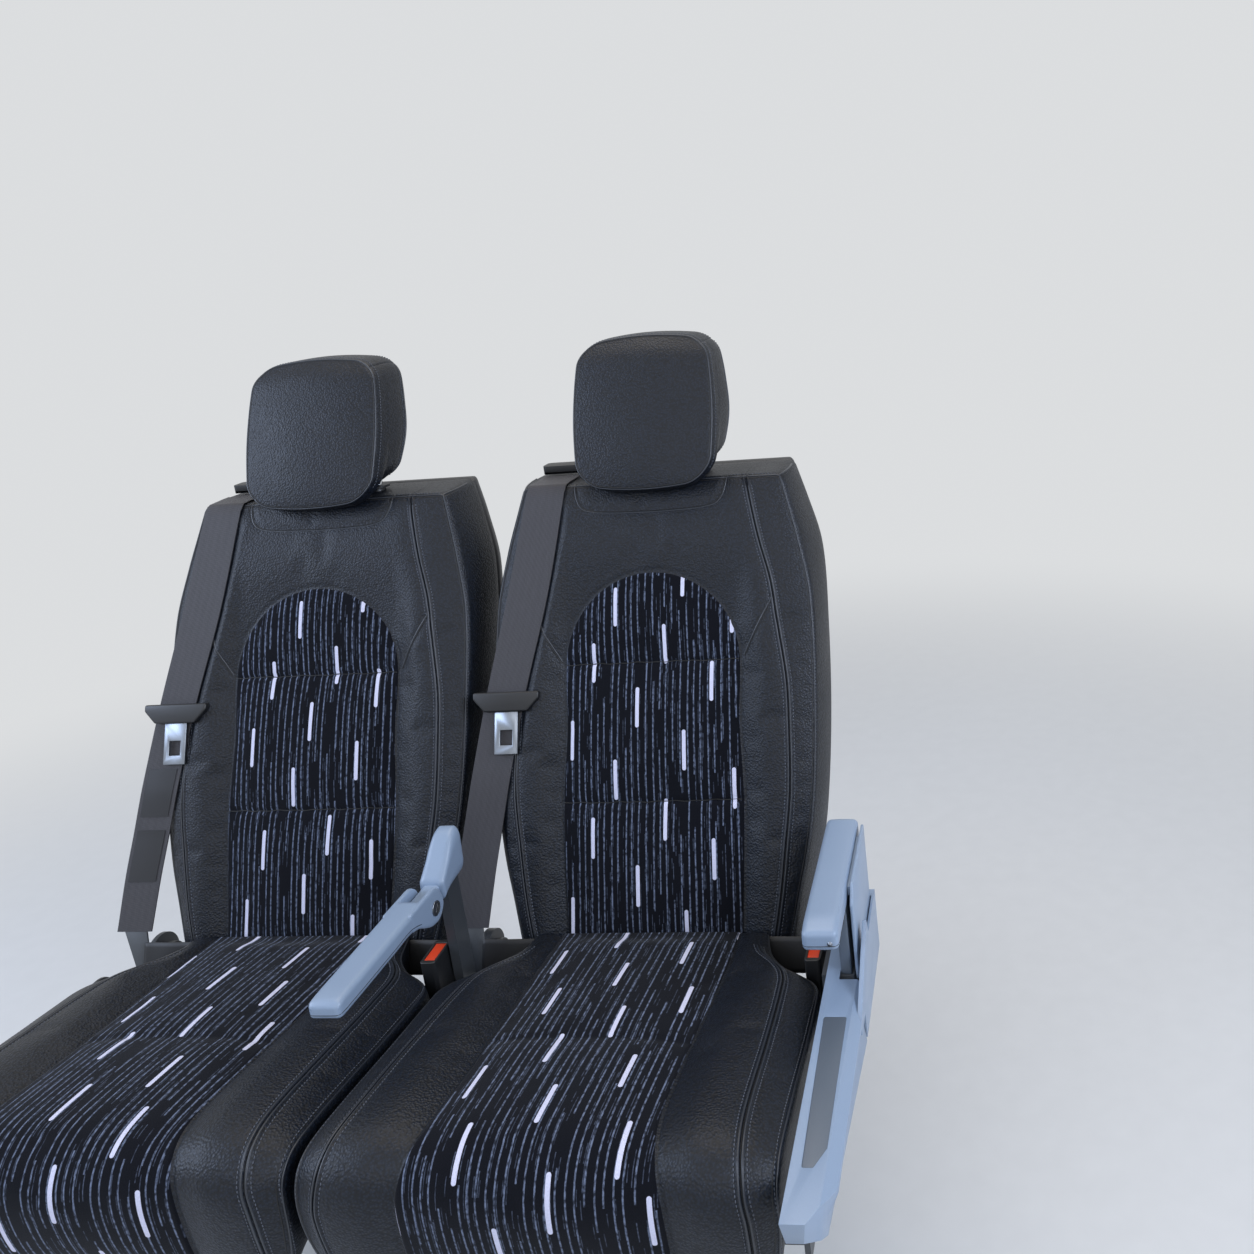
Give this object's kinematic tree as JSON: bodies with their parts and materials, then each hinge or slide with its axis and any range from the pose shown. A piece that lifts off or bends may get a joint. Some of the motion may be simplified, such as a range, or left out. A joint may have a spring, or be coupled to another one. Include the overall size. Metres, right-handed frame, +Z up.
{
  "type": "twin reclining coach seat",
  "caption": "Two-place reclining passenger seat of a coach: leather and velour cushions, headrests, belts, folding and lowering armrests, fairing and pedestal leg.",
  "frame": {"origin": "on the floor, at the centre of the pedestal foot's four bolts", "axes": "+X towards the aisle, +Y towards the rear of the seats, +Z up"},
  "size_m": [1.05, 0.8258, 1.1595],
  "materials": {
    "leather": "fine pebble grain, satin",
    "webbing": "ribbed belt webbing",
    "grey_plastic": "moulded, light silver grey, satin",
    "mid_grey_plastic": "moulded, mid grey",
    "black_plastic": "moulded, black",
    "shell_plastic": "textured moulded shell, charcoal",
    "net": "elastic mesh",
    "frame_steel": "black powder coat",
    "plated_steel": "zinc plated",
    "chrome_rod": "polished rod",
    "orange_plastic": "moulded, orange-red"
  },
  "bodies": {
    "root": {"front_beam": "frame_steel", "rear_beam": "frame_steel", "side_plate_window": "frame_steel", "side_plate_centre": "frame_steel", "side_plate_aisle": "frame_steel", "pedestal_leg": "frame_steel", "pedestal_foot": "frame_steel", "wall_bracket": "frame_steel", "side_cover_window": "grey_plastic", "armrest_neck": "grey_plastic", "armrest_guide": "mid_grey_plastic", "fairing_aisle": "grey_plastic", "fairing_inset": "mid_grey_plastic", "cushion_pan_window": "frame_steel", "cushion_window": "leather", "buckle_window": "black_plastic", "buckle_button_window": "orange_plastic", "buckle_stalk_window": "plated_steel", "cushion_pan_aisle": "frame_steel", "cushion_aisle": "leather", "buckle_aisle": "black_plastic", "buckle_button_aisle": "orange_plastic", "buckle_stalk_aisle": "plated_steel"},
    "back_window": {"back_pad_window": "leather", "back_shell_window": "shell_plastic", "magazine_net_window": "net", "hinge_rod_window": "plated_steel", "headrest_guides_window": "black_plastic", "belt_webbing_window": "webbing", "belt_guide_window": "black_plastic", "belt_tongue_cover_window": "black_plastic", "belt_tongue_window": "plated_steel", "belt_anchor_window": "plated_steel"},
    "headrest_window": {"headrest_window": "leather", "headrest_posts_window": "chrome_rod"},
    "back_aisle": {"back_pad_aisle": "leather", "back_shell_aisle": "shell_plastic", "magazine_net_aisle": "net", "hinge_rod_aisle": "plated_steel", "headrest_guides_aisle": "black_plastic", "belt_webbing_aisle": "webbing", "belt_guide_aisle": "black_plastic", "belt_tongue_cover_aisle": "black_plastic", "belt_tongue_aisle": "plated_steel", "belt_anchor_aisle": "plated_steel"},
    "headrest_aisle": {"headrest_aisle": "leather", "headrest_posts_aisle": "chrome_rod"},
    "centre_armrest": {"centre_armrest": "grey_plastic", "armrest_pin": "grey_plastic"},
    "aisle_armrest": {"aisle_armrest": "grey_plastic", "aisle_armrest_post": "mid_grey_plastic", "armrest_guard": "grey_plastic"}
  },
  "joints": [
    {"name": "recline_window", "type": "hinge", "parent": "root", "child": "back_window", "pos_m": [-0.37, 0.20577, 0.38604], "axis": [-1, 0, 0], "range_deg": [0, 18]},
    {"name": "headrest_height_window", "type": "slide", "parent": "back_window", "child": "headrest_window", "axis": [0, 0.3778, 0.9259], "range_m": [0, 0.06]},
    {"name": "recline_aisle", "type": "hinge", "parent": "root", "child": "back_aisle", "pos_m": [0.11, 0.20577, 0.38604], "axis": [-1, 0, 0], "range_deg": [0, 18]},
    {"name": "headrest_height_aisle", "type": "slide", "parent": "back_aisle", "child": "headrest_aisle", "axis": [0, 0.3778, 0.9259], "range_m": [0, 0.06]},
    {"name": "centre_armrest_fold", "type": "hinge", "parent": "root", "child": "centre_armrest", "pos_m": [-0.13, 0.068, 0.545], "axis": [-1, 0, 0], "range_deg": [0, 92]},
    {"name": "aisle_armrest_lower", "type": "slide", "parent": "root", "child": "aisle_armrest", "axis": [0, 0, -1], "range_m": [0, 0.07]}
  ]
}
